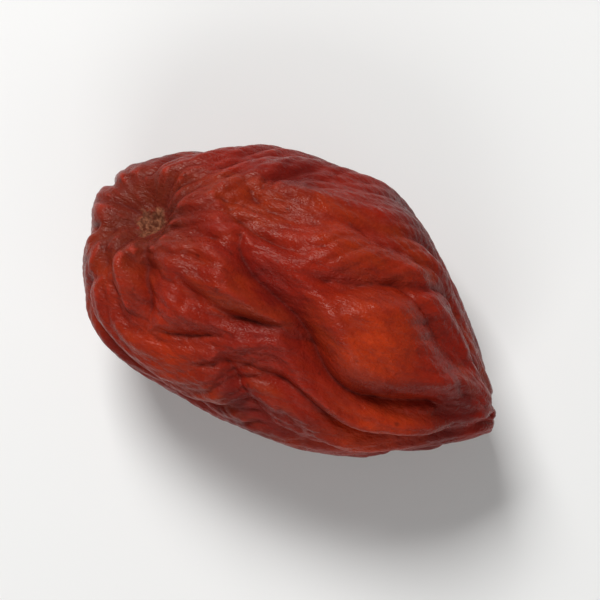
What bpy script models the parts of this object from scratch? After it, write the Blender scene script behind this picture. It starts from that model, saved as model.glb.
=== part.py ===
# One dried jujube, lying on its side on a small pressed flat.
# The stalk end is at -X, the tip at +X, and +Z is up. The origin is under the
# middle of the fruit, on the surface that it lies on. All lengths are metres.
# The fruit is one closed body: its skin is a ball that is given the fruit's
# outline and then creased, folded, dimpled and pressed by formulas.

import math

import bmesh
import bpy
import numpy as np
from mathutils import Vector, noise

MM = 0.001

# Driving sizes of the body, before it wrinkled
LENGTH = 28.3 * MM
WIDTH = 17.3 * MM
HEIGHT = 15.4 * MM
BLUNTNESS = 2.4  # 2 is an ellipsoid, more is a barrel
TIP_TAPER = 0.62  # share of its thickness that the body loses towards the tip
TAPER_POWER = 2.8  # how late the taper starts
CENTRE_LINE = (0.75 * MM, 0.0, -0.9 * MM, -1.0 * MM)  # sideways bend, as powers of x

# The surface mesh: faces along each side of the cube that the ball comes from
FACES_A_SIDE = 30
END_SPREAD = 1.3  # how much closer the points stand at the ends than on a plain ball

# Small flat that the fruit lies on
REST_DEPTH = 0.42 * MM  # how much of the underside is pressed away
REST_CALM = 1.1 * MM  # wrinkles fade out over this height above it

# Hollow that the stalk stood in, and the dimple at the tip. The angle is the place round
# the axis in degrees, from +Y up over the top, and the radius is that of the mouth.
STALK_END = {"x": -11.6 * MM, "angle": 72.0, "radius": 2.2 * MM, "depth": 2.5 * MM}
TIP = {"x": 13.8 * MM, "angle": -55.0, "radius": 0.9 * MM, "depth": 0.45 * MM}
PUCKERS = 9  # short folds drawn into the stalk hollow
PUCKER_HEIGHT = 0.28 * MM
PUCKER_REACH = 4.6 * MM
PUCKER_SWAY_SCALE = 4.0 * MM
END_AXIS_PULL = 0.55  # share of the hollow's x at which its axis leaves the middle of the fruit
SCAR_CALM = (0.5 * MM, 2.5 * MM)  # creases rise to full depth between these, from the stalk

# Broad swellings (+) and hollows (-) seen from above: x, y, radius, height
SWELLS = (
    (4.6 * MM, 0.6 * MM, 3.4 * MM, 0.75 * MM),
    (0.3 * MM, -3.0 * MM, 2.6 * MM, -0.75 * MM),
    (-8.4 * MM, 3.4 * MM, 2.6 * MM, -0.55 * MM),
    (-0.8 * MM, 5.0 * MM, 2.4 * MM, 0.40 * MM),
    (-5.6 * MM, 0.8 * MM, 2.2 * MM, 0.45 * MM),
    (9.4 * MM, 3.4 * MM, 2.6 * MM, -0.70 * MM),
    (8.9 * MM, 0.0 * MM, 2.0 * MM, 0.35 * MM),
)
HIDDEN_SWELLS = 16
HIDDEN_SWELL_HEIGHT = 0.65 * MM
HIDDEN_SWELL_RADII = (2.0 * MM, 3.6 * MM)
HIDDEN_SWELL_ANGLES = (185.0, 355.0)  # degrees round the axis, below the middle

# Sides that were squeezed while it dried: outward direction and how far they went in
PRESSED_SIDES = (
    ((-0.94, -0.34, -0.05), 0.65 * MM),
    ((-0.55, 0.83, 0.05), 1.00 * MM),
    ((0.70, 0.71, 0.05), 1.80 * MM),
    ((0.97, -0.24, 0.00), 0.50 * MM),
    ((0.52, -0.85, 0.10), 0.95 * MM),
    ((-0.07, -0.99, -0.05), 0.60 * MM),
    ((0.10, 0.80, -0.59), 0.70 * MM),
    ((-0.45, -0.62, -0.64), 0.60 * MM),
)
PRESS_ROUNDING = 0.75 * MM
PRESS_GIVE = 0.85  # share of what stands out that goes in

# Main creases of the upper side, as points (x, y) seen from above, in millimetres
UPPER_CREASES = (
    ((-5.0, 4.0), (-4.7, 2.5), (-3.6, 1.4), (-1.9, 0.7), (-0.3, 0.1), (1.0, -0.8),
     (2.2, -2.0), (3.3, -2.8), (5.0, -3.1), (7.0, -2.7), (9.0, -1.9), (11.4, -0.9)),
    ((-6.2, 4.3), (-4.5, 3.7), (-2.6, 3.4), (-0.7, 3.5)),
    ((-6.7, -0.6), (-5.4, -1.7), (-4.0, -1.9), (-2.5, -1.3), (0.3, -0.8)),
    ((-10.0, 0.4), (-9.4, -1.2), (-8.4, -2.6), (-8.0, -4.0)),
    ((-7.6, -4.2), (-5.6, -3.8), (-4.2, -3.1), (-2.8, -2.6)),
    ((-3.6, -3.6), (-2.3, -4.6), (-1.0, -5.6), (0.9, -6.6)),
    ((1.6, -4.0), (3.4, -4.7), (5.9, -5.2), (8.2, -4.4)),
    ((-6.4, 6.6), (-4.8, 5.5), (-2.8, 5.1), (-0.9, 5.3)),
    ((-1.0, 2.4), (0.6, 2.6), (2.2, 3.0), (3.6, 3.7), (4.9, 4.0), (6.8, 3.2), (8.8, 2.0),
     (10.6, 1.0)),
    ((0.6, 6.3), (2.6, 5.9), (5.0, 6.0), (7.0, 5.2)),
    ((-7.6, 0.9), (-6.3, 0.8), (-4.9, 1.2)),
    ((-11.8, 0.6), (-11.4, -1.6), (-10.2, -3.4), (-8.6, -4.7)),
    ((1.0, -5.2), (2.4, -6.0), (4.0, -6.5), (5.6, -6.7)),
)
UPPER_CREASE_DEPTHS = tuple(
    depth * MM
    for depth in (1.50, 0.95, 0.65, 1.15, 1.00, 0.80, 0.75, 0.75, 0.70, 0.55, 0.45, 0.50, 0.45)
)
HIDDEN_CREASES = 20
HIDDEN_CREASE_DEPTHS = (0.45 * MM, 1.05 * MM)
HIDDEN_CREASE_LENGTHS = (5.0 * MM, 13.0 * MM)
HIDDEN_CREASE_STARTS = (-0.40 * LENGTH, 0.18 * LENGTH)
HIDDEN_CREASE_END = 0.44 * LENGTH  # none goes further towards the tip
HIDDEN_CREASE_TURNS = (-11.0, 14.0)  # degrees that one wanders from knot to knot
HIDDEN_CREASE_KNOTS = 6
CREASE_WIDTH = 0.75 * MM
SHOULDER = 0.25  # height of the rounded shoulders beside a crease, as a share of its depth
SHOULDER_AWAY = 2.2  # how many crease widths away they stand
CREASE_STEP = 0.3 * MM
CREASE_BESIDE = 4.0 * MM  # nothing further from a crease than this is moved by it
CREASE_FADE = 0.6  # less keeps a crease deep for longer towards its ends

# Folds that cover the skin between the creases: distance from one to the next,
# height, and the seed of their draw
FOLDS = ((3.3 * MM, 0.60 * MM, 3), (1.8 * MM, 0.25 * MM, 5))
FOLD_SPIRAL = 14.0  # degrees that the folds wind round the fruit
FOLD_SWAY = 34.0  # degrees that they wander
FOLD_SWAY_SCALE = 6.0 * MM
FOLD_MIDDLE = 0.62  # the folds' mean height, as a share of the full one
FOLD_END = 0.35  # strength of the waves, as a share of the usual, below which a fold fades
FOLD_ROUNDNESS = 0.8  # less makes the folds' backs broader and their valleys sharper
FOLD_STRAY = 0.3  # share of the distance between folds that each place strays
FOLD_STRAY_SCALE = 2.2  # over how many of those distances the straying turns over
WAVE_REACH = 0.7  # share of the distance between folds over which one wave is felt
WAVE_GAP = 0.5  # share of it from one wave's centre to the next
WAVE_ROUNDS = 5
CALM_ENDS = (1.5 * MM, 6.0 * MM)  # from either end, folds run straight below the first of these
FOLD_RISE_STALK = (0.8 * MM, 3.0 * MM)  # folds rise to full height between these, from the stalk
FOLD_RISE_TIP = (0.4 * MM, 2.0 * MM)  # and from the tip
PATCH_SCALE = 7.0 * MM  # of the patches of higher and lower folds
PATCH_MEAN, PATCH_SPREAD = 0.85, 0.6
PATCH_LIMITS = (0.35, 1.2)

# Places seen from above where the skin is taut and the folds are low: x, y, radius, and the
# share of the fold height left in the middle
SMOOTH_PLACES = (
    (4.6 * MM, 0.6 * MM, 3.4 * MM, 0.15),
    (2.4 * MM, 6.6 * MM, 3.4 * MM, 0.45),
    (-6.2 * MM, -5.2 * MM, 3.0 * MM, 0.35),
)

SEED = 14  # of the sway, the patches of higher and lower folds and what the underside has
SKIN_COLOUR = (0.20, 0.022, 0.013, 1.0)
SKIN_ROUGHNESS = 0.42


def unit(vectors):
    return vectors / np.linalg.norm(vectors, axis=-1, keepdims=True)


def smooth_step(value, low, high):
    share = np.clip((value - low) / (high - low), 0.0, 1.0)
    return share * share * (3.0 - 2.0 * share)


def wander(points, scale, seed):
    """Smooth noise in -1..1, three numbers a point, that turns over at this scale."""
    noise.seed_set(seed)
    return np.array([noise.noise_vector(Vector(point) / scale) for point in points])


def girth(x):
    """How thick the body is at x, as a share of its middle, and where its centre line is."""
    along = x / (LENGTH / 2)
    share = np.clip(1.0 - np.abs(along) ** BLUNTNESS, 0.0, 1.0) ** (1.0 / BLUNTNESS)
    share = share * (1.0 - TIP_TAPER * np.clip(along, 0.0, 1.0) ** TAPER_POWER)
    bend = sum(c * along**power for power, c in enumerate(CENTRE_LINE))
    return share, bend


def on_skin(x, angle):
    """Point of the smooth body at x and this angle round the axis, up from +Y."""
    share, bend = girth(x)
    return np.stack(
        [x, bend + share * WIDTH / 2 * np.cos(angle), share * HEIGHT / 2 * np.sin(angle)],
        axis=-1,
    )


def seen_from_above(x, y):
    share, bend = girth(x)
    cosine = np.clip((y - bend) / (share * WIDTH / 2), -0.999, 0.999)
    return on_skin(x, np.arccos(cosine))


def smooth_body(directions):
    """The plump fruit: its skin points and outward normals, for these directions."""
    half = np.array([LENGTH, WIDTH, HEIGHT]) / 2
    scaled = directions / half
    across = np.hypot(scaled[:, 1], scaled[:, 2])
    size = np.abs(scaled[:, 0]) ** BLUNTNESS + across**BLUNTNESS
    points = directions * (size ** (-1.0 / BLUNTNESS))[:, None]
    along = points[:, 0] / half[0]
    bend = girth(points[:, 0])[1]
    tip_share = np.clip(along, 0.0, 1.0)
    points[:, 1:] *= (1.0 - TIP_TAPER * tip_share**TAPER_POWER)[:, None]
    points[:, 1] += bend
    tip_slope = TAPER_POWER * TIP_TAPER * tip_share ** (TAPER_POWER - 1.0) / half[0]
    tip_slope *= across / size ** (1.0 / BLUNTNESS)
    normals = np.stack(
        [
            np.sign(along) * np.abs(along) ** (BLUNTNESS - 1) / half[0] + tip_slope,
            (points[:, 1] - bend) / half[1] ** 2,
            points[:, 2] / half[2] ** 2,
        ],
        axis=1,
    )
    return points, unit(normals)


def end_point(end):
    return on_skin(np.array(end["x"]), math.radians(end["angle"]))


def even_directions(count, seed):
    """Directions spread evenly over the ball by the golden angle, each a little astray."""
    draw = np.random.default_rng(seed)
    turn = np.arange(count) + 0.5
    height = 1.0 - 2.0 * turn / count
    ring = np.sqrt(1.0 - height**2)
    angle = turn * math.pi * (3.0 - math.sqrt(5.0))
    spread = np.stack([height, ring * np.cos(angle), ring * np.sin(angle)], axis=1)
    return unit(spread + draw.normal(0.0, 0.8 / math.sqrt(count), spread.shape)), draw


def fold_directions(points, normals):
    """Unit vectors in the skin, across the folds. Folds run from the stalk to the tip."""
    from_stalk = points - end_point(STALK_END)
    to_tip = end_point(TIP) - points
    stalk_gap = np.linalg.norm(from_stalk, axis=1, keepdims=True)
    tip_gap = np.linalg.norm(to_tip, axis=1, keepdims=True)
    flow = from_stalk / (stalk_gap**2 + MM**2) + to_tip / (tip_gap**2 + MM**2)
    flow = unit(flow - normals * np.sum(flow * normals, axis=1, keepdims=True))
    across = np.cross(normals, flow)
    calm_ends = smooth_step(np.minimum(stalk_gap, tip_gap), *CALM_ENDS)[:, 0]
    sway = wander(points, FOLD_SWAY_SCALE, SEED)[:, 0] * 2.0 * math.radians(FOLD_SWAY)
    turn = (sway + math.radians(FOLD_SPIRAL)) * calm_ends
    return across * np.cos(turn)[:, None] - flow * np.sin(turn)[:, None]


def add_waves(points, centres, across, phases, spacing, reach):
    """Sum of the waves that start at these centres, as one complex number a point."""
    total = np.zeros(len(points), complex)
    cells = np.floor(points / (2.0 * reach + MM)).astype(int)
    _, cell = np.unique(cells, axis=0, return_inverse=True)
    cell = cell.reshape(-1)
    for number in range(cell.max() + 1):
        chosen = np.flatnonzero(cell == number)
        middle = points[chosen].mean(axis=0)
        radius = np.linalg.norm(points[chosen] - middle, axis=1).max() + 3.0 * reach
        near = np.linalg.norm(centres - middle, axis=1) < radius
        offset = points[chosen][:, None] - centres[near][None]
        weight = np.exp(-np.sum(offset**2, axis=2) / (2.0 * reach**2))
        travel = np.sum(offset * across[near][None], axis=2) * 2.0 * math.pi / spacing
        total[chosen] = np.sum(weight * np.exp(1j * (travel + phases[near][None])), axis=1)
    return total


def folds(points, spacing, seed):
    """Height of rounded folds with sharp valleys, level on the whole, as a share of the full one.

    The folds fork where they don't fit, and fade out round the place where one ends.
    """
    count = int(math.pi * LENGTH * WIDTH / (WAVE_GAP * spacing) ** 2)
    directions, draw = even_directions(count, seed)
    centres, normals = smooth_body(directions)
    across = fold_directions(centres, normals)
    phases = draw.uniform(-math.pi, math.pi, count)
    reach = WAVE_REACH * spacing
    for _ in range(WAVE_ROUNDS):  # neighbours fall into step, which leaves only a few forks
        phases = np.angle(add_waves(centres, centres, across, phases, spacing, reach))
    waves = add_waves(points, centres, across, phases, spacing, reach)
    strength = np.abs(waves) / np.median(np.abs(waves))
    fold = np.abs(np.cos(np.angle(waves) / 2.0)) ** FOLD_ROUNDNESS
    return (fold - FOLD_MIDDLE) * smooth_step(strength, 0.0, FOLD_END)


def curve_through(points):
    """The points of a smooth line through these ones, a step apart."""
    knots = [2 * points[0] - points[1], *points, 2 * points[-1] - points[-2]]
    line = []
    for a, b, c, d in zip(knots, knots[1:], knots[2:], knots[3:]):
        steps = max(2, int(np.linalg.norm(c - b) / CREASE_STEP))
        for t in np.arange(steps) / steps:
            line.append(
                0.5 * (2 * b + (c - a) * t + (2 * a - 5 * b + 4 * c - d) * t**2
                       + (3 * b - a - 3 * c + d) * t**3)
            )
    return np.array(line + [points[-1]])


def hidden_creases():
    """Creases of the sides that the upper list leaves out, lengthwise and wandering."""
    draw = np.random.default_rng(SEED)
    for number in range(HIDDEN_CREASES):
        angle = math.radians(190.0 + 160.0 * (number + draw.uniform(0.2, 0.8)) / HIDDEN_CREASES)
        x = draw.uniform(*HIDDEN_CREASE_STARTS)
        length = draw.uniform(*HIDDEN_CREASE_LENGTHS)
        depth = draw.uniform(*HIDDEN_CREASE_DEPTHS)
        knots = []
        for _ in range(HIDDEN_CREASE_KNOTS):
            knots.append(on_skin(np.array(x), angle))
            x = min(x + length / (HIDDEN_CREASE_KNOTS - 1), HIDDEN_CREASE_END)
            angle += math.radians(draw.uniform(*HIDDEN_CREASE_TURNS))
        yield curve_through(knots), depth


def gap_to_line(points, line):
    """Distance of each point from a line, and how far along the line its nearest place is."""
    step = np.diff(line, axis=0)
    offset = points[:, None] - line[None, :-1]
    share = np.clip(np.sum(offset * step, axis=2) / np.sum(step**2, axis=1), 0.0, 1.0)
    gap = np.linalg.norm(offset - share[..., None] * step, axis=2)
    nearest = gap.argmin(axis=1)
    rows = np.arange(len(points))
    return gap[rows, nearest], (nearest + share[rows, nearest]) / len(step)


def creases(points):
    """Height of the sharp valleys (negative) and of the rounded shoulders beside them."""
    lines = []
    for knots, depth in zip(UPPER_CREASES, UPPER_CREASE_DEPTHS):
        flat = np.array(knots) * MM
        lines.append((curve_through(list(seen_from_above(flat[:, 0], flat[:, 1]))), depth))
    lines += list(hidden_creases())
    valley = np.zeros(len(points))
    shoulder = np.zeros(len(points))
    for line, depth in lines:
        low, high = line.min(axis=0) - CREASE_BESIDE, line.max(axis=0) + CREASE_BESIDE
        near = np.flatnonzero(np.all((points > low) & (points < high), axis=1))
        gap, along = gap_to_line(points[near], line)
        away = gap / CREASE_WIDTH
        fade = depth * np.sin(math.pi * (0.03 + 0.94 * along)) ** CREASE_FADE
        valley[near] = np.maximum(valley[near], fade * np.exp(-away))
        shoulder[near] = np.maximum(shoulder[near], fade * np.exp(-((away - SHOULDER_AWAY) ** 2)))
    return SHOULDER * shoulder - valley


def swells(points):
    """Height of the broad bumps and dents."""
    draw = np.random.default_rng(SEED + 1)
    hidden = []
    for _ in range(HIDDEN_SWELLS):
        angle = math.radians(draw.uniform(*HIDDEN_SWELL_ANGLES))
        place = on_skin(np.array(draw.uniform(-0.45, 0.45) * LENGTH), angle)
        radius = draw.uniform(*HIDDEN_SWELL_RADII)
        hidden.append((place, radius, draw.uniform(-1.0, 1.0) * HIDDEN_SWELL_HEIGHT))
    upper = [(seen_from_above(np.array(x), np.array(y)), r, h) for x, y, r, h in SWELLS]
    height = np.zeros(len(points))
    for place, radius, rise in upper + hidden:
        gap = np.linalg.norm(points - place, axis=1)
        height += rise * np.exp(-((gap / radius) ** 2))
    return height


def end_axis(end):
    """Outward direction of an end's hollow: from inside that end of the fruit to the hollow."""
    middle = end_point(end)
    return unit(middle - np.array([middle[0] * END_AXIS_PULL, 0.0, 0.0]))


def hollow(points, end):
    """Inward move of the points round a stalk or tip hollow, and their distance from it."""
    gap = np.linalg.norm(points - end_point(end), axis=1)
    funnel = end["depth"] * np.exp(-((gap / end["radius"]) ** 2))
    return -funnel[:, None] * end_axis(end), gap


def puckers(points, gap):
    """Short folds that run into the stalk hollow like a drawn purse."""
    axis = end_axis(STALK_END)
    side = unit(np.cross(axis, (0.0, 0.0, 1.0)))
    up = np.cross(side, axis)
    offset = points - end_point(STALK_END)
    turn = np.arctan2(offset @ up, offset @ side)
    turn += 0.5 * wander(points, PUCKER_SWAY_SCALE, SEED)[:, 0]
    wave = np.abs(np.cos(turn * PUCKERS / 2.0)) - 0.6
    ring = smooth_step(gap, 0.5 * MM, 2.0 * MM) * (1.0 - smooth_step(gap, 2.5 * MM, PUCKER_REACH))
    return PUCKER_HEIGHT * wave * ring


def press(points, direction, depth):
    """Flattens what stands furthest out in this direction, with a rounded edge."""
    direction = unit(np.array(direction))
    reach = points @ direction
    over = (reach - reach.max() + depth) / PRESS_ROUNDING
    return points - np.logaddexp(0.0, over)[:, None] * PRESS_ROUNDING * PRESS_GIVE * direction


def fold_share(points, stalk_gap, tip_gap):
    """How much of the fold height each place has: less at the ends and where it is taut."""
    patch = PATCH_MEAN + PATCH_SPREAD * wander(points, PATCH_SCALE, SEED)[:, 0]
    share = np.clip(patch, *PATCH_LIMITS)
    share *= smooth_step(stalk_gap, *FOLD_RISE_STALK) * smooth_step(tip_gap, *FOLD_RISE_TIP)
    for x, y, radius, left in SMOOTH_PLACES:
        gap = np.linalg.norm(points - seen_from_above(np.array(x), np.array(y)), axis=1)
        share *= 1.0 - (1.0 - left) * np.exp(-((gap / radius) ** 2))
    return share


def wrinkled_skin(directions, layers):
    """Skin points of the dried fruit for these directions, with the floor at z = 0."""
    plump, normals = smooth_body(directions)
    stalk_move, stalk_gap = hollow(plump, STALK_END)
    tip_move, tip_gap = hollow(plump, TIP)
    points = plump + normals * swells(plump)[:, None]
    for direction, depth in PRESSED_SIDES:
        points = press(points, direction, depth)
    floor = points[:, 2].min() + REST_DEPTH
    share = fold_share(plump, stalk_gap, tip_gap)
    wrinkles = creases(plump) * smooth_step(stalk_gap, *SCAR_CALM)
    for spacing, rise, seed in layers:
        stray = FOLD_STRAY * spacing * wander(plump, FOLD_STRAY_SCALE * spacing, seed)
        wrinkles += rise * share * folds(plump + stray, spacing, seed)
    wrinkles *= smooth_step(points[:, 2] - floor, 0.0, REST_CALM)
    wrinkles += puckers(plump, stalk_gap)
    return points + normals * wrinkles[:, None] + stalk_move + tip_move - (0.0, 0.0, floor)


def laid_down(points):
    """The same points with the underside pressed flat on z = 0, over the middle of their box."""
    points[:, 2] = np.maximum(points[:, 2], 0.0)
    points[:, :2] -= (points[:, :2].max(axis=0) + points[:, :2].min(axis=0)) / 2
    return points


def ball(faces_a_side):
    """A ball with no poles: a cube cut into squares and blown up to a sphere."""
    mesh = bmesh.new()
    bmesh.ops.create_cube(mesh, size=2.0)
    bmesh.ops.subdivide_edges(
        mesh, edges=mesh.edges[:], cuts=faces_a_side - 1, use_grid_fill=True
    )
    for vertex in mesh.verts:
        even = Vector([math.tan(value * math.pi / 4) for value in vertex.co]).normalized()
        vertex.co = Vector((even.x * END_SPREAD, even.y, even.z)).normalized()
    return mesh


def skin_material():
    material = bpy.data.materials.new("jujube skin")
    material.use_nodes = True
    shader = material.node_tree.nodes["Principled BSDF"]
    shader.inputs["Base Color"].default_value = SKIN_COLOUR
    shader.inputs["Roughness"].default_value = SKIN_ROUGHNESS
    shader.inputs["Metallic"].default_value = 0.0
    return material


def fruit(collection):
    skin = ball(FACES_A_SIDE)
    directions = np.array([vertex.co for vertex in skin.verts])
    for vertex, place in zip(skin.verts, laid_down(wrinkled_skin(directions, FOLDS))):
        vertex.co = place
    bmesh.ops.triangulate(skin, faces=skin.faces[:], quad_method="SHORT_EDGE")
    mesh = bpy.data.meshes.new("fruit")
    skin.to_mesh(mesh)
    skin.free()
    mesh.shade_smooth()
    mesh.materials.append(skin_material())
    made = bpy.data.objects.new("fruit", mesh)
    collection.objects.link(made)
    return made


def main():
    for old in list(bpy.data.objects):
        bpy.data.objects.remove(old)
    collection = bpy.data.collections.new("jujube")
    bpy.context.scene.collection.children.link(collection)
    fruit(collection)


if __name__ == "__main__":
    main()
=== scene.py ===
import math

import bmesh
import bpy
import numpy as np
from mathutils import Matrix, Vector, noise


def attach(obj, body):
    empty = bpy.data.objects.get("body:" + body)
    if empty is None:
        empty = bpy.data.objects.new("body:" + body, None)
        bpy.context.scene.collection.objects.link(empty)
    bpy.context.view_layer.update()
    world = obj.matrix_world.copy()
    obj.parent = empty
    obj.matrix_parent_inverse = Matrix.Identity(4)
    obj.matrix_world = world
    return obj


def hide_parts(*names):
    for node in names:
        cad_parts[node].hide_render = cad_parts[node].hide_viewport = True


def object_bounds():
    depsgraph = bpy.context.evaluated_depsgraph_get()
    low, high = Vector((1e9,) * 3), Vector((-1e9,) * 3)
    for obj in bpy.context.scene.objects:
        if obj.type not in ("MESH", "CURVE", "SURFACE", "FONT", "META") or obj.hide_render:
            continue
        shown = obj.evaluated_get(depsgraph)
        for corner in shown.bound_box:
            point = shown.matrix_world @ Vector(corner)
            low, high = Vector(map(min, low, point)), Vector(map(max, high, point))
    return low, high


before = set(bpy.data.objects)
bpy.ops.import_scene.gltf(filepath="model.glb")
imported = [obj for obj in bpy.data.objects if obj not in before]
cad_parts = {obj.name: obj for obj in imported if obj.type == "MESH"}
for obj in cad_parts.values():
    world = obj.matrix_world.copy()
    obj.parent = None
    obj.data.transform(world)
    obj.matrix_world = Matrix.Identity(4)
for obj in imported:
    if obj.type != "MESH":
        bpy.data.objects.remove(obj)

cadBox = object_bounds()
mm = 0.001
print("frame loaded:", sorted(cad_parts))


def unit(vectors):
    return vectors / np.linalg.norm(vectors, axis=-1, keepdims=True)


def smoothStep(value, low, high):
    share = np.clip((value - low) / (high - low), 0.0, 1.0)
    return share * share * (3.0 - 2.0 * share)


def wander(points, scale, seed):
    # smooth noise in -1..1, three numbers a point
    noise.seed_set(seed)
    return np.array([noise.noise_vector(Vector(point) / scale) for point in points])


# The plump body. All of these forms are the solid's own, so the fine skin keeps its shape.
bodyForm = {
    "length": 28.3 * mm,
    "width": 17.3 * mm,
    "height": 15.4 * mm,
    "bluntness": 2.4,
    "tipTaper": 0.62,
    "taperPower": 2.8,
    "centreLine": (0.75 * mm, 0.0, -0.9 * mm, -1.0 * mm),
    "rimLimit": 0.999,
    "seed": 14,
}


def girth(x):
    along = x / (bodyForm["length"] / 2)
    blunt = bodyForm["bluntness"]
    share = np.clip(1.0 - np.abs(along) ** blunt, 0.0, 1.0) ** (1.0 / blunt)
    tipShare = np.clip(along, 0.0, 1.0) ** bodyForm["taperPower"]
    share = share * (1.0 - bodyForm["tipTaper"] * tipShare)
    bend = sum(c * along**power for power, c in enumerate(bodyForm["centreLine"]))
    return share, bend


def onSkin(x, angle):
    share, bend = girth(x)
    y = bend + share * bodyForm["width"] / 2 * np.cos(angle)
    return np.stack([x, y, share * bodyForm["height"] / 2 * np.sin(angle)], axis=-1)


def seenFromAbove(x, y):
    share, bend = girth(x)
    limit = bodyForm["rimLimit"]
    cosine = np.clip((y - bend) / (share * bodyForm["width"] / 2), -limit, limit)
    return onSkin(x, np.arccos(cosine))


def smoothBody(directions):
    # the plump skin's points and outward normals
    blunt, power = bodyForm["bluntness"], bodyForm["taperPower"]
    half = np.array([bodyForm["length"], bodyForm["width"], bodyForm["height"]]) / 2
    scaled = directions / half
    across = np.hypot(scaled[:, 1], scaled[:, 2])
    size = np.abs(scaled[:, 0]) ** blunt + across**blunt
    points = directions * (size ** (-1.0 / blunt))[:, None]
    along = points[:, 0] / half[0]
    bend = girth(points[:, 0])[1]
    tipShare = np.clip(along, 0.0, 1.0)
    points[:, 1:] *= (1.0 - bodyForm["tipTaper"] * tipShare**power)[:, None]
    points[:, 1] += bend
    tipSlope = power * bodyForm["tipTaper"] * tipShare ** (power - 1.0) / half[0]
    tipSlope *= across / size ** (1.0 / blunt)
    normals = np.stack(
        [
            np.sign(along) * np.abs(along) ** (blunt - 1) / half[0] + tipSlope,
            (points[:, 1] - bend) / half[1] ** 2,
            points[:, 2] / half[2] ** 2,
        ],
        axis=1,
    )
    return points, unit(normals)


# Stalk hollow, the scar at its bottom, and the tip's dimple with its dry point
endForm = {
    "stalk": {"x": -11.6 * mm, "angle": 72.0, "radius": 2.2 * mm, "depth": 2.5 * mm},
    "tip": {"x": 13.8 * mm, "angle": -55.0, "radius": 0.9 * mm, "depth": 0.45 * mm},
    "axisPull": 0.55,
    "puckers": 9,
    "puckerHeight": 0.28 * mm,
    "puckerRise": (0.5 * mm, 2.0 * mm),
    "puckerFade": (2.5 * mm, 4.6 * mm),
    "puckerMiddle": 0.6,
    "puckerSway": 0.5,
    "puckerSwayScale": 4.0 * mm,
    "finePuckers": 23,
    "finePuckerHeight": 0.07 * mm,
    "finePuckerRise": (0.6 * mm, 1.1 * mm),
    "finePuckerFade": (1.6 * mm, 3.2 * mm),
    "scarRadius": 0.85 * mm,
    "scarRim": 0.16 * mm,
    "scarRimWidth": 0.22,
    "scarPit": 0.30 * mm,
    "scarPitWidth": 0.38,
    "scarRough": 0.06 * mm,
    "scarGrain": 0.45 * mm,
    "scarEdge": (0.9, 1.5),
    "scarSeed": 31,
    "pointRadius": 0.22 * mm,
    "pointHeight": 0.40 * mm,
    # how far the colours of the ends reach: the cork, the browner skin and the dark point
    "corkReach": 1.5 * mm,
    "brownReach": 5.0 * mm,
    "tipReach": 0.5 * mm,
}


def endPoint(end):
    return onSkin(np.array(end["x"]), math.radians(end["angle"]))


def endAxis(end):
    middle = endPoint(end)
    return unit(middle - np.array([middle[0] * endForm["axisPull"], 0.0, 0.0]))


def hollow(points, end):
    gap = np.linalg.norm(points - endPoint(end), axis=1)
    funnel = end["depth"] * np.exp(-((gap / end["radius"]) ** 2))
    return -funnel[:, None] * endAxis(end), gap


def puckers(points, gap):
    # folds that run into the stalk hollow like a drawn purse: the solid's, and finer ones
    axis = endAxis(endForm["stalk"])
    side = unit(np.cross(axis, (0.0, 0.0, 1.0)))
    offset = points - endPoint(endForm["stalk"])
    turn = np.arctan2(offset @ np.cross(side, axis), offset @ side)
    sway = wander(points, endForm["puckerSwayScale"], bodyForm["seed"])[:, 0]
    turn += endForm["puckerSway"] * sway
    height = np.zeros(len(points))
    for count, rise, near, far in (
        ("puckers", "puckerHeight", "puckerRise", "puckerFade"),
        ("finePuckers", "finePuckerHeight", "finePuckerRise", "finePuckerFade"),
    ):
        wave = np.abs(np.cos(turn * endForm[count] / 2.0)) - endForm["puckerMiddle"]
        ring = smoothStep(gap, *endForm[near]) * (1.0 - smoothStep(gap, *endForm[far]))
        height += endForm[rise] * wave * ring
    return height


def endRelief(points, stalkGap, tipGap):
    # corky scar with a raised rim and a pit, and the dry point
    away = stalkGap / endForm["scarRadius"]
    rim = endForm["scarRim"] * np.exp(-(((away - 1.0) / endForm["scarRimWidth"]) ** 2))
    pit = endForm["scarPit"] * np.exp(-((away / endForm["scarPitWidth"]) ** 2))
    rough = endForm["scarRough"] * wander(points, endForm["scarGrain"], endForm["scarSeed"])[:, 0]
    rough *= 1.0 - smoothStep(away, *endForm["scarEdge"])
    point = endForm["pointHeight"] * np.exp(-((tipGap / endForm["pointRadius"]) ** 2))
    return rim - pit + rough + point


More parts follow.
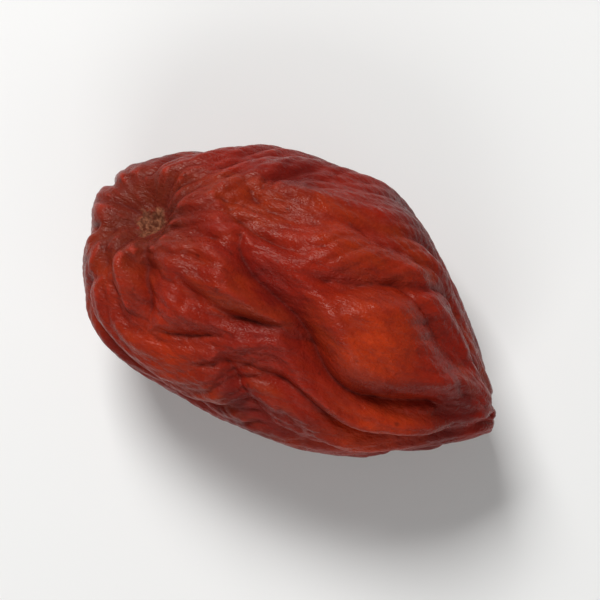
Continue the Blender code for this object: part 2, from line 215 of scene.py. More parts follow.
# Folds of the skin: spacing, height, seed, degrees turned from the long way, and how much
# the patches of low and high folds tell (less is more even). The first two layers are the
# solid's, the others are this skin's own fine wrinkles.
foldForm = {
    "layers": (
        (3.3 * mm, 0.60 * mm, 3, 0.0, 1.0),
        (1.8 * mm, 0.25 * mm, 5, 0.0, 1.0),
        (0.95 * mm, 0.115 * mm, 9, 10.0, 0.5),
        (0.55 * mm, 0.040 * mm, 14, -32.0, 0.4),
    ),
    "spiral": 14.0,
    "sway": 68.0,
    "swayScale": 6.0 * mm,
    "softStart": 1.0 * mm,
    "middle": 0.62,
    "roundness": 0.8,
    "valleyRounding": 0.04,
    "endStrength": 0.35,
    "calmEnds": (1.5 * mm, 6.0 * mm),
    "riseFromStalk": (0.8 * mm, 3.0 * mm),
    "riseFromTip": (0.4 * mm, 2.0 * mm),
    # a layer is summed up from short waves. Their distance, their reach and the stray of
    # the points are in spacings, how far a wave is felt and the cells' size in reaches
    "waveGap": 0.5,
    "waveReach": 0.7,
    "waveRounds": 5,
    "waveAstray": 0.8,
    "waveFelt": 3.0,
    "cellSize": 2.0,
    "stray": 0.3,
    "strayScale": 2.2,
    # patches of higher and lower folds
    "patchMean": 0.85,
    "patchSpread": 0.6,
    "patchScale": 7.0 * mm,
    "patchLimits": (0.35, 1.2),
    # taut places seen from above: x, y, radius, share of the fold height left
    "smoothPlaces": (
        (4.6 * mm, 0.6 * mm, 3.4 * mm, 0.15),
        (2.4 * mm, 6.6 * mm, 3.4 * mm, 0.45),
        (-6.2 * mm, -5.2 * mm, 3.0 * mm, 0.35),
    ),
    # orange places seen from above: x, y, radius, share of the full orange; the orange is the taut
    # skin's own colour, and painted light where it brightens the lower side that the lamps leave in
    # shade
    "orangeAndPaintedLightPlaces": (
        (4.4 * mm, 0.6 * mm, 2.9 * mm, 1.0),
        (6.6 * mm, -5.0 * mm, 3.0 * mm, 1.0),
        (-6.3 * mm, -5.0 * mm, 3.2 * mm, 0.55),
        (-10.6 * mm, -2.2 * mm, 2.2 * mm, 0.45),
        (-0.6 * mm, 5.4 * mm, 2.6 * mm, 0.35),
    ),
}


def evenDirections(count, seed):
    draw = np.random.default_rng(seed)
    turn = np.arange(count) + 0.5
    height = 1.0 - 2.0 * turn / count
    ring = np.sqrt(1.0 - height**2)
    angle = turn * math.pi * (3.0 - math.sqrt(5.0))
    spread = np.stack([height, ring * np.cos(angle), ring * np.sin(angle)], axis=1)
    astray = foldForm["waveAstray"] / math.sqrt(count)
    return unit(spread + draw.normal(0.0, astray, spread.shape)), draw


def foldDirections(points, normals, turned):
    # unit vectors in the skin, across folds that run from the stalk to the tip and sway
    fromStalk = points - endPoint(endForm["stalk"])
    toTip = endPoint(endForm["tip"]) - points
    stalkGap = np.linalg.norm(fromStalk, axis=1, keepdims=True)
    tipGap = np.linalg.norm(toTip, axis=1, keepdims=True)
    soft = foldForm["softStart"] ** 2
    flow = fromStalk / (stalkGap**2 + soft) + toTip / (tipGap**2 + soft)
    flow = unit(flow - normals * np.sum(flow * normals, axis=1, keepdims=True))
    across = np.cross(normals, flow)
    calmEnds = smoothStep(np.minimum(stalkGap, tipGap), *foldForm["calmEnds"])[:, 0]
    sway = wander(points, foldForm["swayScale"], bodyForm["seed"])[:, 0]
    turn = sway * math.radians(foldForm["sway"]) + math.radians(foldForm["spiral"] + turned)
    turn *= calmEnds
    return across * np.cos(turn)[:, None] - flow * np.sin(turn)[:, None]


def addWaves(points, centres, across, phases, spacing, reach):
    # works through the points cell by cell, each with the waves that are felt in it
    total = np.zeros(len(points), complex)
    cells = np.floor(points / (foldForm["cellSize"] * reach + mm)).astype(int)
    cell = np.unique(cells, axis=0, return_inverse=True)[1].reshape(-1)
    for number in range(cell.max() + 1):
        chosen = np.flatnonzero(cell == number)
        middle = points[chosen].mean(axis=0)
        radius = np.linalg.norm(points[chosen] - middle, axis=1).max()
        radius += foldForm["waveFelt"] * reach
        near = np.linalg.norm(centres - middle, axis=1) < radius
        offset = points[chosen][:, None] - centres[near][None]
        weight = np.exp(-np.sum(offset**2, axis=2) / (2.0 * reach**2))
        travel = np.sum(offset * across[near][None], axis=2) * 2.0 * math.pi / spacing
        total[chosen] = np.sum(weight * np.exp(1j * (travel + phases[near][None])), axis=1)
    return total


def folds(points, spacing, seed, turned):
    # rounded folds with sharp valleys, level on the whole, which fade out where one ends
    gap = foldForm["waveGap"] * spacing
    count = int(math.pi * bodyForm["length"] * bodyForm["width"] / gap**2)
    directions, draw = evenDirections(count, seed)
    centres, normals = smoothBody(directions)
    across = foldDirections(centres, normals, turned)
    phases = draw.uniform(-math.pi, math.pi, count)
    reach = foldForm["waveReach"] * spacing
    for _ in range(foldForm["waveRounds"]):  # neighbours fall into step, but for a few forks
        phases = np.angle(addWaves(centres, centres, across, phases, spacing, reach))
    waves = addWaves(points, centres, across, phases, spacing, reach)
    strength = np.abs(waves) / np.median(np.abs(waves))
    wave = np.cos(np.angle(waves) / 2.0)
    fold = (wave**2 + foldForm["valleyRounding"] ** 2) ** (foldForm["roundness"] / 2)
    return (fold - foldForm["middle"]) * smoothStep(strength, 0.0, foldForm["endStrength"])


def nearness(points, x, y, radius):
    gap = np.linalg.norm(points - seenFromAbove(np.array(x), np.array(y)), axis=1)
    return np.exp(-((gap / radius) ** 2))


def orangeAndPaintedLightShare(points):
    places = [
        share * nearness(points, x, y, radius) for x, y, radius, share in foldForm["orangeAndPaintedLightPlaces"]
    ]
    return np.max(places, axis=0)


def foldShare(points, stalkGap, tipGap):
    # the part of the folds' height that is left, lower in patches, at the ends and where taut
    patch = wander(points, foldForm["patchScale"], bodyForm["seed"])[:, 0]
    share = foldForm["patchMean"] + foldForm["patchSpread"] * patch
    share = np.clip(share, *foldForm["patchLimits"])
    share *= smoothStep(stalkGap, *foldForm["riseFromStalk"])
    share *= smoothStep(tipGap, *foldForm["riseFromTip"])
    for x, y, radius, left in foldForm["smoothPlaces"]:
        share *= 1.0 - (1.0 - left) * nearness(points, x, y, radius)
    return share


# Creases of the upper side as depth, then points (x, y) seen from above, all in millimetres,
# and the ranges that those of the hidden sides are drawn from
creaseForm = {
    "upper": (
        (
            1.50, (-5.0, 4.0), (-4.7, 2.5), (-3.6, 1.4), (-1.9, 0.7), (-0.3, 0.1), (1.0, -0.8),
            (2.2, -2.0), (3.3, -2.8), (5.0, -3.1), (7.0, -2.7), (9.0, -1.9), (11.4, -0.9),
        ),
        (0.95, (-6.2, 4.3), (-4.5, 3.7), (-2.6, 3.4), (-0.7, 3.5)),
        (0.65, (-6.7, -0.6), (-5.4, -1.7), (-4.0, -1.9), (-2.5, -1.3), (0.3, -0.8)),
        (1.15, (-10.0, 0.4), (-9.4, -1.2), (-8.4, -2.6), (-8.0, -4.0)),
        (1.00, (-7.6, -4.2), (-5.6, -3.8), (-4.2, -3.1), (-2.8, -2.6)),
        (0.80, (-3.6, -3.6), (-2.3, -4.6), (-1.0, -5.6), (0.9, -6.6)),
        (0.75, (1.6, -4.0), (3.4, -4.7), (5.9, -5.2), (8.2, -4.4)),
        (0.75, (-6.4, 6.6), (-4.8, 5.5), (-2.8, 5.1), (-0.9, 5.3)),
        (
            0.70, (-1.0, 2.4), (0.6, 2.6), (2.2, 3.0), (3.6, 3.7), (4.9, 4.0), (6.8, 3.2),
            (8.8, 2.0), (10.6, 1.0),
        ),
        (0.55, (0.6, 6.3), (2.6, 5.9), (5.0, 6.0), (7.0, 5.2)),
        (0.45, (-7.6, 0.9), (-6.3, 0.8), (-4.9, 1.2)),
        (0.50, (-11.8, 0.6), (-11.4, -1.6), (-10.2, -3.4), (-8.6, -4.7)),
        (0.45, (1.0, -5.2), (2.4, -6.0), (4.0, -6.5), (5.6, -6.7)),
    ),
    "hiddenCount": 20,
    "hiddenDepth": (0.45 * mm, 1.05 * mm),
    "hiddenLength": (5.0 * mm, 13.0 * mm),
    "hiddenAngles": (190.0, 350.0),
    "hiddenPlace": (0.2, 0.8),
    "hiddenStart": (-0.40, 0.18),
    "hiddenEnd": 0.44,
    "hiddenTurn": (-11.0, 14.0),
    "hiddenKnots": 6,
    "width": 0.75 * mm,
    "bottomRounding": 0.05 * mm,
    "shoulder": 0.25,
    "shoulderAway": 2.2,
    "beside": 4.0 * mm,
    "fade": 0.6,
    "fadeMargin": 0.03,
    "riseFromStalk": (0.5 * mm, 2.5 * mm),
    "step": 0.3 * mm,
}


def curveThrough(points):
    knots = [2 * points[0] - points[1], *points, 2 * points[-1] - points[-2]]
    line = []
    for a, b, c, d in zip(knots, knots[1:], knots[2:], knots[3:]):
        steps = max(2, int(np.linalg.norm(c - b) / creaseForm["step"]))
        for t in np.arange(steps) / steps:
            bow = (2 * a - 5 * b + 4 * c - d) * t**2 + (3 * b - a - 3 * c + d) * t**3
            line.append(0.5 * (2 * b + (c - a) * t + bow))
    return np.array(line + [points[-1]])


def creaseLines():
    for depth, *knots in creaseForm["upper"]:
        flat = np.array(knots) * mm
        yield curveThrough(list(seenFromAbove(flat[:, 0], flat[:, 1]))), depth * mm
    draw = np.random.default_rng(bodyForm["seed"])
    count, knotCount = creaseForm["hiddenCount"], creaseForm["hiddenKnots"]
    first, last = creaseForm["hiddenAngles"]
    for number in range(count):
        place = (number + draw.uniform(*creaseForm["hiddenPlace"])) / count
        angle = math.radians(first + (last - first) * place)
        x = draw.uniform(*creaseForm["hiddenStart"]) * bodyForm["length"]
        length = draw.uniform(*creaseForm["hiddenLength"])
        depth = draw.uniform(*creaseForm["hiddenDepth"])
        knots = []
        for _ in range(knotCount):
            knots.append(onSkin(np.array(x), angle))
            x = min(x + length / (knotCount - 1), creaseForm["hiddenEnd"] * bodyForm["length"])
            angle += math.radians(draw.uniform(*creaseForm["hiddenTurn"]))
        yield curveThrough(knots), depth


def gapToLine(points, line):
    step = np.diff(line, axis=0)
    offset = points[:, None] - line[None, :-1]
    share = np.clip(np.sum(offset * step, axis=2) / np.sum(step**2, axis=1), 0.0, 1.0)
    gap = np.linalg.norm(offset - share[..., None] * step, axis=2)
    nearest = gap.argmin(axis=1)
    rows = np.arange(len(points))
    return gap[rows, nearest], (nearest + share[rows, nearest]) / len(step)


def creases(points):
    # sharp valleys with rounded shoulders beside them
    valley = np.zeros(len(points))
    shoulder = np.zeros(len(points))
    for line, depth in creaseLines():
        low = line.min(axis=0) - creaseForm["beside"]
        high = line.max(axis=0) + creaseForm["beside"]
        near = np.flatnonzero(np.all((points > low) & (points < high), axis=1))
        gap, along = gapToLine(points[near], line)
        away = np.hypot(gap, creaseForm["bottomRounding"]) / creaseForm["width"]
        inside = creaseForm["fadeMargin"] + (1.0 - 2.0 * creaseForm["fadeMargin"]) * along
        fade = depth * np.sin(math.pi * inside) ** creaseForm["fade"]
        valley[near] = np.maximum(valley[near], fade * np.exp(-away))
        beside = np.exp(-((away - creaseForm["shoulderAway"]) ** 2))
        shoulder[near] = np.maximum(shoulder[near], fade * beside)
    return creaseForm["shoulder"] * shoulder - valley


# Broad swellings and hollows seen from above (x, y, radius, height), those of the underside,
# and the sides squeezed while it dried (outward direction, depth)
swellForm = {
    "upper": (
        (4.6 * mm, 0.6 * mm, 3.4 * mm, 0.75 * mm),
        (0.3 * mm, -3.0 * mm, 2.6 * mm, -0.75 * mm),
        (-8.4 * mm, 3.4 * mm, 2.6 * mm, -0.55 * mm),
        (-0.8 * mm, 5.0 * mm, 2.4 * mm, 0.40 * mm),
        (-5.6 * mm, 0.8 * mm, 2.2 * mm, 0.45 * mm),
        (9.4 * mm, 3.4 * mm, 2.6 * mm, -0.70 * mm),
        (8.9 * mm, 0.0 * mm, 2.0 * mm, 0.35 * mm),
    ),
    "hiddenCount": 16,
    "hiddenHeight": 0.65 * mm,
    "hiddenRadius": (2.0 * mm, 3.6 * mm),
    "hiddenAngles": (185.0, 355.0),
    "hiddenAlong": (-0.45, 0.45),
    "pressed": (
        ((-0.94, -0.34, -0.05), 0.65 * mm),
        ((-0.55, 0.83, 0.05), 1.00 * mm),
        ((0.70, 0.71, 0.05), 1.80 * mm),
        ((0.97, -0.24, 0.00), 0.50 * mm),
        ((0.52, -0.85, 0.10), 0.95 * mm),
        ((-0.07, -0.99, -0.05), 0.60 * mm),
        ((0.10, 0.80, -0.59), 0.70 * mm),
        ((-0.45, -0.62, -0.64), 0.60 * mm),
    ),
    "pressRounding": 0.75 * mm,
    "pressGive": 0.85,
    "restDepth": 0.42 * mm,
    "restCalm": 1.1 * mm,
}


def swells(points):
    draw = np.random.default_rng(bodyForm["seed"] + 1)
    bumps = [(seenFromAbove(np.array(x), np.array(y)), r, h) for x, y, r, h in swellForm["upper"]]
    for _ in range(swellForm["hiddenCount"]):
        angle = math.radians(draw.uniform(*swellForm["hiddenAngles"]))
        x = draw.uniform(*swellForm["hiddenAlong"]) * bodyForm["length"]
        radius = draw.uniform(*swellForm["hiddenRadius"])
        rise = draw.uniform(-1.0, 1.0) * swellForm["hiddenHeight"]
        bumps.append((onSkin(np.array(x), angle), radius, rise))
    height = np.zeros(len(points))
    for place, radius, rise in bumps:
        height += rise * np.exp(-((np.linalg.norm(points - place, axis=1) / radius) ** 2))
    return height


def press(points, direction, depth):
    direction = unit(np.array(direction))
    reach = points @ direction
    rounding = swellForm["pressRounding"]
    over = (reach - reach.max() + depth) / rounding
    inward = np.logaddexp(0.0, over) * rounding * swellForm["pressGive"]
    return points - inward[:, None] * direction


def wrinkledSkin(directions):
    # the dried skin's points, and masks of its two ends and of its orange places, taut skin with
    # painted light
    plump, normals = smoothBody(directions)
    stalkMove, stalkGap = hollow(plump, endForm["stalk"])
    tipMove, tipGap = hollow(plump, endForm["tip"])
    points = plump + normals * swells(plump)[:, None]
    for direction, depth in swellForm["pressed"]:
        points = press(points, direction, depth)
    floorHeight = points[:, 2].min() + swellForm["restDepth"]
    share = foldShare(plump, stalkGap, tipGap)
    wrinkles = creases(plump) * smoothStep(stalkGap, *creaseForm["riseFromStalk"])
    for spacing, rise, seed, turned, patchy in foldForm["layers"]:
        stray = foldForm["stray"] * spacing * wander(plump, foldForm["strayScale"] * spacing, seed)
        wrinkles += rise * share**patchy * folds(plump + stray, spacing, seed, turned)
        print(f"folds {spacing / mm:.2f} mm apart are laid")
    wrinkles *= smoothStep(points[:, 2] - floorHeight, 0.0, swellForm["restCalm"])
    wrinkles += puckers(plump, stalkGap) + endRelief(plump, stalkGap, tipGap)
    points = points + normals * wrinkles[:, None] + stalkMove + tipMove
    points[:, 2] = np.maximum(points[:, 2] - floorHeight, 0.0)
    points[:, :2] -= (points[:, :2].max(axis=0) + points[:, :2].min(axis=0)) / 2
    masks = {
        "taut": orangeAndPaintedLightShare(plump),
        "stalk": np.exp(-((stalkGap / endForm["corkReach"]) ** 2)),
        "stalkSide": np.exp(-((stalkGap / endForm["brownReach"]) ** 2)),
        "tip": np.exp(-((tipGap / endForm["tipReach"]) ** 2)),
    }
    return points, masks


def ball(facesASide, endSpread):
    # a cube cut into squares and blown up, so it has no poles
    mesh = bmesh.new()
    bmesh.ops.create_cube(mesh, size=2.0)
    bmesh.ops.subdivide_edges(mesh, edges=mesh.edges[:], cuts=facesASide - 1, use_grid_fill=True)
    for vertex in mesh.verts:
        even = Vector([math.tan(value * math.pi / 4) for value in vertex.co]).normalized()
        vertex.co = Vector((even.x * endSpread, even.y, even.z)).normalized()
    return mesh


def standingOut(points, normals, edges, rounds):
    # how far each place stands out of its surroundings, in metres, wider with more rounds:
    # in each of them every point moves half way to the middle of its neighbours
    count = len(points)
    ends = np.concatenate([edges[:, 0], edges[:, 1]])
    others = np.concatenate([edges[:, 1], edges[:, 0]])
    friends = np.bincount(ends, minlength=count)
    calm = points.copy()
    for _ in range(rounds):
        sums = [np.bincount(ends, weights=calm[others, axis], minlength=count) for axis in range(3)]
        calm = (calm + np.stack(sums, axis=1) / friends[:, None]) / 2
    return np.sum((points - calm) * normals, axis=1)


def addNode(tree, kind, values=None, **settings):
    node = tree.nodes.new(kind)
    for name, value in settings.items():
        setattr(node, name, value)
    for socket, value in (values or {}).items():
        if isinstance(value, bpy.types.NodeSocket):
            tree.links.new(value, node.inputs[socket])
        else:
            node.inputs[socket].default_value = value
    return node


def mixColour(tree, amount, first, second):
    values = {0: amount, 6: first, 7: second}
    return addNode(tree, "ShaderNodeMix", values, data_type="RGBA").outputs[2]


def calc(tree, operation, first, second=0.0):
    return addNode(tree, "ShaderNodeMath", {0: first, 1: second}, operation=operation).outputs[0]


def plus(tree, base, extra, share):
    return calc(tree, "ADD", base, calc(tree, "MULTIPLY", extra, share))


def ramp(tree, value, low, high, toLow=0.0, toHigh=1.0):
    values = {
        "Value": value, "From Min": low, "From Max": high, "To Min": toLow, "To Max": toHigh,
    }
    return addNode(tree, "ShaderNodeMapRange", values, interpolation_type="SMOOTHSTEP").outputs[0]


def mask(tree, name):
    return addNode(tree, "ShaderNodeAttribute", attribute_name=name).outputs["Fac"]


def cloud(tree, place, size, detail=2.0, roughness=0.5):
    values = {"Vector": place, "Scale": 1.0 / size, "Detail": detail, "Roughness": roughness}
    return addNode(tree, "ShaderNodeTexNoise", values).outputs["Fac"]


def patches(tree, place, look):
    return ramp(tree, cloud(tree, place, *look["cloud"]), *look["range"])


def ridges(tree, place, look):
    # a cloud folded at its middle: rounded backs and sharp valleys
    return calc(tree, "ABSOLUTE", calc(tree, "SUBTRACT", cloud(tree, place, *look["cloud"]), 0.5))


# A cloud is given as grain size, detail and roughness. A range brings an effect from none at
# its first number to full at its second, or from its third number to its fourth.
skinLook = {
    "facesASide": 128,
    "endSpread": 1.3,
    "maskRounds": {"raised": 8, "broad": 120},
    "longStretch": (0.35, 1.0, 1.0),
    "brickRed": (0.230, 0.0115, 0.0050, 1.0),
    "maroon": (0.120, 0.0070, 0.0055, 1.0),
    "rust": (0.260, 0.0240, 0.0050, 1.0),
    "crease": (0.085, 0.0040, 0.0022, 1.0),
    # painted shade for the valleys of folds and creases
    "crest": (0.340, 0.0240, 0.0110, 1.0),
    "orange": (0.430, 0.0350, 0.0055, 1.0),
    "brown": (0.105, 0.0170, 0.0075, 1.0),
    "cork": (0.100, 0.0240, 0.0115, 1.0),
    "corkPale": (0.310, 0.1120, 0.0580, 1.0),
    "spot": (0.060, 0.0070, 0.0040, 1.0),
    "scuff": (0.400, 0.1050, 0.0550, 1.0),
    # broad colour
    "maroonAreas": {"cloud": (6.0 * mm, 3.0), "range": (0.42, 0.66)},
    "rustyAreas": {"cloud": (3.1 * mm, 4.0), "range": (0.48, 0.70, 0.0, 0.85)},
    "orangeAreas": {"cloud": (2.2 * mm,), "range": (0.25, 0.6, 0.5, 0.95)},
    "brownRange": (0.15, 0.9, 0.0, 0.75),
    "streaks": {"cloud": (0.45 * mm, 5.0, 0.6), "range": (0.35, 0.65, 0.0, 0.35)},
    # backs and valleys, by how many millimetres they stand out or lie deeper; the valleys'
    # darkening is painted shade
    "fineBacks": (0.015, 0.08),
    "broadBacks": (0.10, 0.45, 0.0, 0.7),
    "unevenBacks": {"cloud": (0.9 * mm, 4.0), "range": (0.3, 0.65, 0.15, 0.85)},
    "fineValleyShade": (-0.10, -0.01, 0.70, 0.0),
    "broadValleyShade": (-0.60, -0.05, 0.85, 0.0),
    # spots and scuffs
    "spotGap": 0.9 * mm,
    "spotEdge": {"cloud": (0.5 * mm, 3.0), "height": 0.35},
    "spotRange": (0.20, 0.42, 1.0, 0.0),
    "spotChoice": (0.45, 0.95, 0.0, 0.55),
    "scuffs": {"cloud": (0.30 * mm, 6.0, 0.7), "range": (0.58, 0.72)},
    "scuffedBacks": (0.02, 0.08, 0.0, 0.40),
    # cork in the stalk hollow, and the dark point
    "corkGrain": (0.22 * mm, 6.0, 0.65),
    "corkPaleRange": (0.40, 0.68),
    "corkEdge": {"cloud": (0.7 * mm, 5.0, 0.6), "range": (0.2, 0.8, -0.28, 0.28)},
    "corkRange": (0.62, 0.86),
    "tipRange": (0.25, 0.8, 0.0, 0.9),
    # wax: its roughness, and what the creases and the cork add to it
    "wax": {"cloud": (0.8 * mm, 4.0), "range": (0.3, 0.7, 0.24, 0.42)},
    "creaseDullness": 0.50,
    "corkDullness": 0.35,
    "specular": 0.155,
    "specularTint": (1.0, 0.80, 0.72, 1.0),
    "subsurface": 0.15,
    "subsurfaceRadius": (1.0, 0.25, 0.12),
    "subsurfaceScale": 0.7 * mm,
    # the finest crepe
    "crepeHeight": 0.035 * mm,
    "longCrepe": {"cloud": (0.34 * mm, 3.0, 0.55), "height": 4.0},
    "crossCrepe": {"cloud": (0.22 * mm, 2.0), "height": 1.5},
    "pores": {"gap": 0.20 * mm, "height": 0.35},
    "corkCrepe": 2.5,
}


def skinColour(tree, place, longWay, raised, broad):
    # broad colour: brick red with maroon and rusty areas, orange where the skin is taut and painted
    # light on the shaded lower side, and browner round the stalk hollow
    maroon = patches(tree, place, skinLook["maroonAreas"])
    colour = mixColour(tree, maroon, skinLook["brickRed"], skinLook["maroon"])
    rusty = patches(tree, longWay, skinLook["rustyAreas"])
    colour = mixColour(tree, rusty, colour, skinLook["rust"])
    uneven = patches(tree, place, skinLook["orangeAreas"])
    # painted light as well: the orange brightens the lower side, which the lamps leave in shade
    orangeAndPaintedLight = calc(tree, "MULTIPLY", mask(tree, "taut"), uneven)
    colour = mixColour(tree, orangeAndPaintedLight, colour, skinLook["orange"])
    browned = ramp(tree, mask(tree, "stalkSide"), *skinLook["brownRange"])
    colour = mixColour(tree, browned, colour, skinLook["brown"])

    # fine streaks and mottling of the waxy skin
    streaks = patches(tree, longWay, skinLook["streaks"])
    colour = mixColour(tree, streaks, colour, skinLook["maroon"])

    # folds: lighter backs where the skin rubs, and painted shade that darkens the valleys
    fineBacks = ramp(tree, raised, *skinLook["fineBacks"])
    backs = calc(tree, "MAXIMUM", fineBacks, ramp(tree, broad, *skinLook["broadBacks"]))
    backs = calc(tree, "MULTIPLY", backs, patches(tree, longWay, skinLook["unevenBacks"]))
    colour = mixColour(tree, backs, colour, skinLook["crest"])
    # painted shade: the deeper a valley lies, the darker its colour
    fineValleyShade = ramp(tree, raised, *skinLook["fineValleyShade"])
    shadedValleys = calc(tree, "MAXIMUM", fineValleyShade, ramp(tree, broad, *skinLook["broadValleyShade"]))
    colour = mixColour(tree, shadedValleys, colour, skinLook["crease"])

    # few faint spots of uneven size, and pale scuffs on the folds' backs
    cellScale = {"Vector": place, "Scale": 1.0 / skinLook["spotGap"]}
    cells = addNode(tree, "ShaderNodeTexVoronoi", cellScale)
    strayed = cloud(tree, place, *skinLook["spotEdge"]["cloud"])
    edge = plus(tree, cells.outputs["Distance"], strayed, skinLook["spotEdge"]["height"])
    chosen = addNode(tree, "ShaderNodeSeparateColor", {"Color": cells.outputs["Color"]}).outputs[0]
    chosen = ramp(tree, chosen, *skinLook["spotChoice"])
    spots = calc(tree, "MULTIPLY", ramp(tree, edge, *skinLook["spotRange"]), chosen)
    colour = mixColour(tree, spots, colour, skinLook["spot"])
    scuffs = patches(tree, longWay, skinLook["scuffs"])
    scuffs = calc(tree, "MULTIPLY", scuffs, ramp(tree, raised, *skinLook["scuffedBacks"]))
    return mixColour(tree, scuffs, colour, skinLook["scuff"]), shadedValleys


def skinMaterial():
    material = bpy.data.materials.new("jujubeSkin")
    material.use_nodes = True
    tree = material.node_tree
    shader = tree.nodes["Principled BSDF"]
    place = addNode(tree, "ShaderNodeTexCoord").outputs["Object"]
    stretched = {"Vector": place, "Scale": skinLook["longStretch"]}
    longWay = addNode(tree, "ShaderNodeMapping", stretched).outputs[0]
    raised = calc(tree, "MULTIPLY", mask(tree, "raised"), 1.0 / mm)
    broad = calc(tree, "MULTIPLY", mask(tree, "broad"), 1.0 / mm)
    colour, shadedValleys = skinColour(tree, place, longWay, raised, broad)

    # corky scar in the stalk hollow, and the dark point of the tip
    grain = cloud(tree, place, *skinLook["corkGrain"])
    ragged = patches(tree, place, skinLook["corkEdge"])
    cork = calc(tree, "ADD", mask(tree, "stalk"), ragged)
    cork = ramp(tree, cork, *skinLook["corkRange"])
    pale = ramp(tree, grain, *skinLook["corkPaleRange"])
    corkColour = mixColour(tree, pale, skinLook["cork"], skinLook["corkPale"])
    colour = mixColour(tree, cork, colour, corkColour)
    point = ramp(tree, mask(tree, "tip"), *skinLook["tipRange"])
    colour = mixColour(tree, point, colour, skinLook["cork"])
    tree.links.new(colour, shader.inputs["Base Color"])

    # waxy backs, duller in the creases and dull on the cork
    dull = patches(tree, place, skinLook["wax"])
    dull = plus(tree, dull, shadedValleys, skinLook["creaseDullness"])
    dull = plus(tree, dull, cork, skinLook["corkDullness"])
    tree.links.new(dull, shader.inputs["Roughness"])
    shader.inputs["Specular IOR Level"].default_value = skinLook["specular"]
    shader.inputs["Specular Tint"].default_value = skinLook["specularTint"]
    shader.inputs["Subsurface Weight"].default_value = skinLook["subsurface"]
    shader.inputs["Subsurface Radius"].default_value = skinLook["subsurfaceRadius"]
    shader.inputs["Subsurface Scale"].default_value = skinLook["subsurfaceScale"]

    # the finest crepe: crossing wrinkles, pores and the cork's grain
    crepe = ridges(tree, longWay, skinLook["longCrepe"])
    cross = ridges(tree, place, skinLook["crossCrepe"])
    poreScale = {"Vector": place, "Scale": 1.0 / skinLook["pores"]["gap"]}
    pores = addNode(tree, "ShaderNodeTexVoronoi", poreScale, feature="SMOOTH_F1")
    height = calc(tree, "MULTIPLY", crepe, skinLook["longCrepe"]["height"])
    height = plus(tree, height, cross, skinLook["crossCrepe"]["height"])
    height = plus(tree, height, pores.outputs["Distance"], skinLook["pores"]["height"])
    height = plus(tree, height, calc(tree, "MULTIPLY", cork, skinLook["corkCrepe"]), grain)
    values = {"Strength": 1.0, "Distance": skinLook["crepeHeight"], "Height": height}
    bump = addNode(tree, "ShaderNodeBump", values)
    tree.links.new(bump.outputs["Normal"], shader.inputs["Normal"])
    return material


def makeSkin():
    work = ball(skinLook["facesASide"], skinLook["endSpread"])
    mesh = bpy.data.meshes.new("skin")
    work.to_mesh(mesh)
    work.free()
    directions = np.empty(len(mesh.vertices) * 3)
    mesh.vertices.foreach_get("co", directions)
    points, masks = wrinkledSkin(directions.reshape(-1, 3))
    mesh.vertices.foreach_set("co", points.ravel())
    mesh.update()
    normals = np.empty(len(points) * 3)
    mesh.vertices.foreach_get("normal", normals)
    edges = np.empty(len(mesh.edges) * 2, int)
    mesh.edges.foreach_get("vertices", edges)
    normals, edges = normals.reshape(-1, 3), edges.reshape(-1, 2)
    for name, rounds in skinLook["maskRounds"].items():
        masks[name] = standingOut(points, normals, edges, rounds)
    for name, values in masks.items():
        attribute = mesh.attributes.new(name, "FLOAT", "POINT")
        attribute.data.foreach_set("value", values.astype(np.float32))
        print(name, "from", round(float(values.min()), 6), "to", round(float(values.max()), 6))
    mesh.shade_smooth()
    mesh.materials.append(skinMaterial())
    skin = bpy.data.objects.new("skin", mesh)
    bpy.context.scene.collection.objects.link(skin)
    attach(skin, "root")
    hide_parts("fruit")
    print("skin made:", len(mesh.polygons), "faces")


floorLook = {"colour": (0.82, 0.82, 0.81, 1.0), "roughness": 0.75, "size": 3.0}


def makeFloor():
    work = bmesh.new()
    bmesh.ops.create_grid(work, x_segments=1, y_segments=1, size=floorLook["size"])
    mesh = bpy.data.meshes.new("floor")
    work.to_mesh(mesh)
    work.free()
    material = bpy.data.materials.new("paleFloor")
    material.use_nodes = True
    shader = material.node_tree.nodes["Principled BSDF"]
    shader.inputs["Base Color"].default_value = floorLook["colour"]
    shader.inputs["Roughness"].default_value = floorLook["roughness"]
    mesh.materials.append(material)
    floor = bpy.data.objects.new("floor", mesh)
    bpy.context.scene.collection.objects.link(floor)


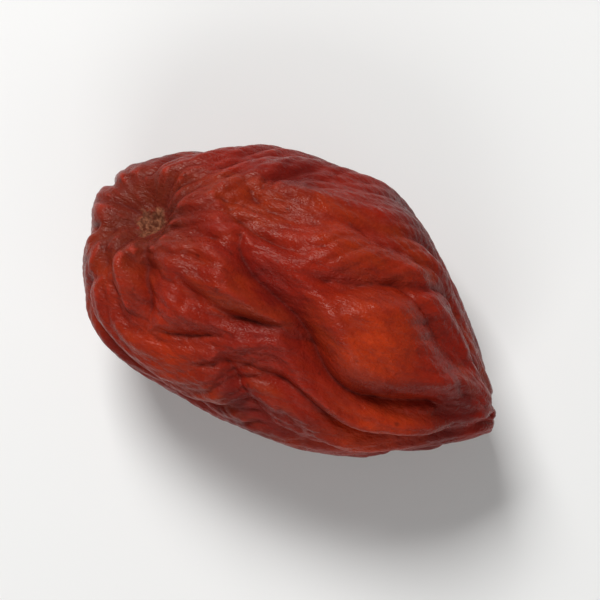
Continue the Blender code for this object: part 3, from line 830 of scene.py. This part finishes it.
# Lights as name, degrees from +Y towards -X, degrees up, distance and size in metres, watts.
# The photograph is lit from its upper left, and its up is turned from +Y by the camera's roll.
studioLook = {
    "lights": (
        ("key", 45.0, 50.0, 0.30, 0.11, 0.92),
        ("side", 188.0, 40.0, 0.32, 0.18, 0.30),
        ("fill", 240.0, 35.0, 0.34, 0.24, 0.12),
    ),
    "world": 0.13,
    "worldColour": (1.0, 1.0, 1.0, 1.0),
    "roll": 23.0,
    "lens": 150.0,
    "sensor": 36.0,
    "frameWidth": 36.0 * mm,
    "clipStart": 0.01,
}


def makeLights(middle):
    for name, turn, up, distance, size, watts in studioLook["lights"]:
        light = bpy.data.lights.new(name, "AREA")
        light.size = size
        light.energy = watts
        lamp = bpy.data.objects.new(name, light)
        bpy.context.scene.collection.objects.link(lamp)
        turn, up = math.radians(turn), math.radians(up)
        level = math.cos(up)
        away = Vector((-math.sin(turn) * level, math.cos(turn) * level, math.sin(up)))
        lamp.location = middle + away * distance
        lamp.rotation_euler = (-away).to_track_quat("-Z", "Y").to_euler()
    world = bpy.data.worlds.new("studio")
    world.use_nodes = True
    background = world.node_tree.nodes["Background"]
    background.inputs["Color"].default_value = studioLook["worldColour"]
    background.inputs["Strength"].default_value = studioLook["world"]
    bpy.context.scene.world = world
    bpy.context.scene.view_settings.view_transform = "Standard"


def makeCamera(middle):
    # straight down on the fruit, as the photograph looks at it
    data = bpy.data.cameras.new("camera")
    data.lens = studioLook["lens"]
    data.sensor_width = studioLook["sensor"]
    data.clip_start = studioLook["clipStart"]
    camera = bpy.data.objects.new("camera", data)
    bpy.context.scene.collection.objects.link(camera)
    distance = studioLook["frameWidth"] / studioLook["sensor"] * studioLook["lens"]
    camera.location = middle + Vector((0.0, 0.0, distance))
    camera.rotation_euler = (0.0, 0.0, math.radians(studioLook["roll"]))
    bpy.context.scene.camera = camera


makeSkin()
makeFloor()
fruitMiddle = (cadBox[0] + cadBox[1]) / 2
makeLights(fruitMiddle)
makeCamera(fruitMiddle)
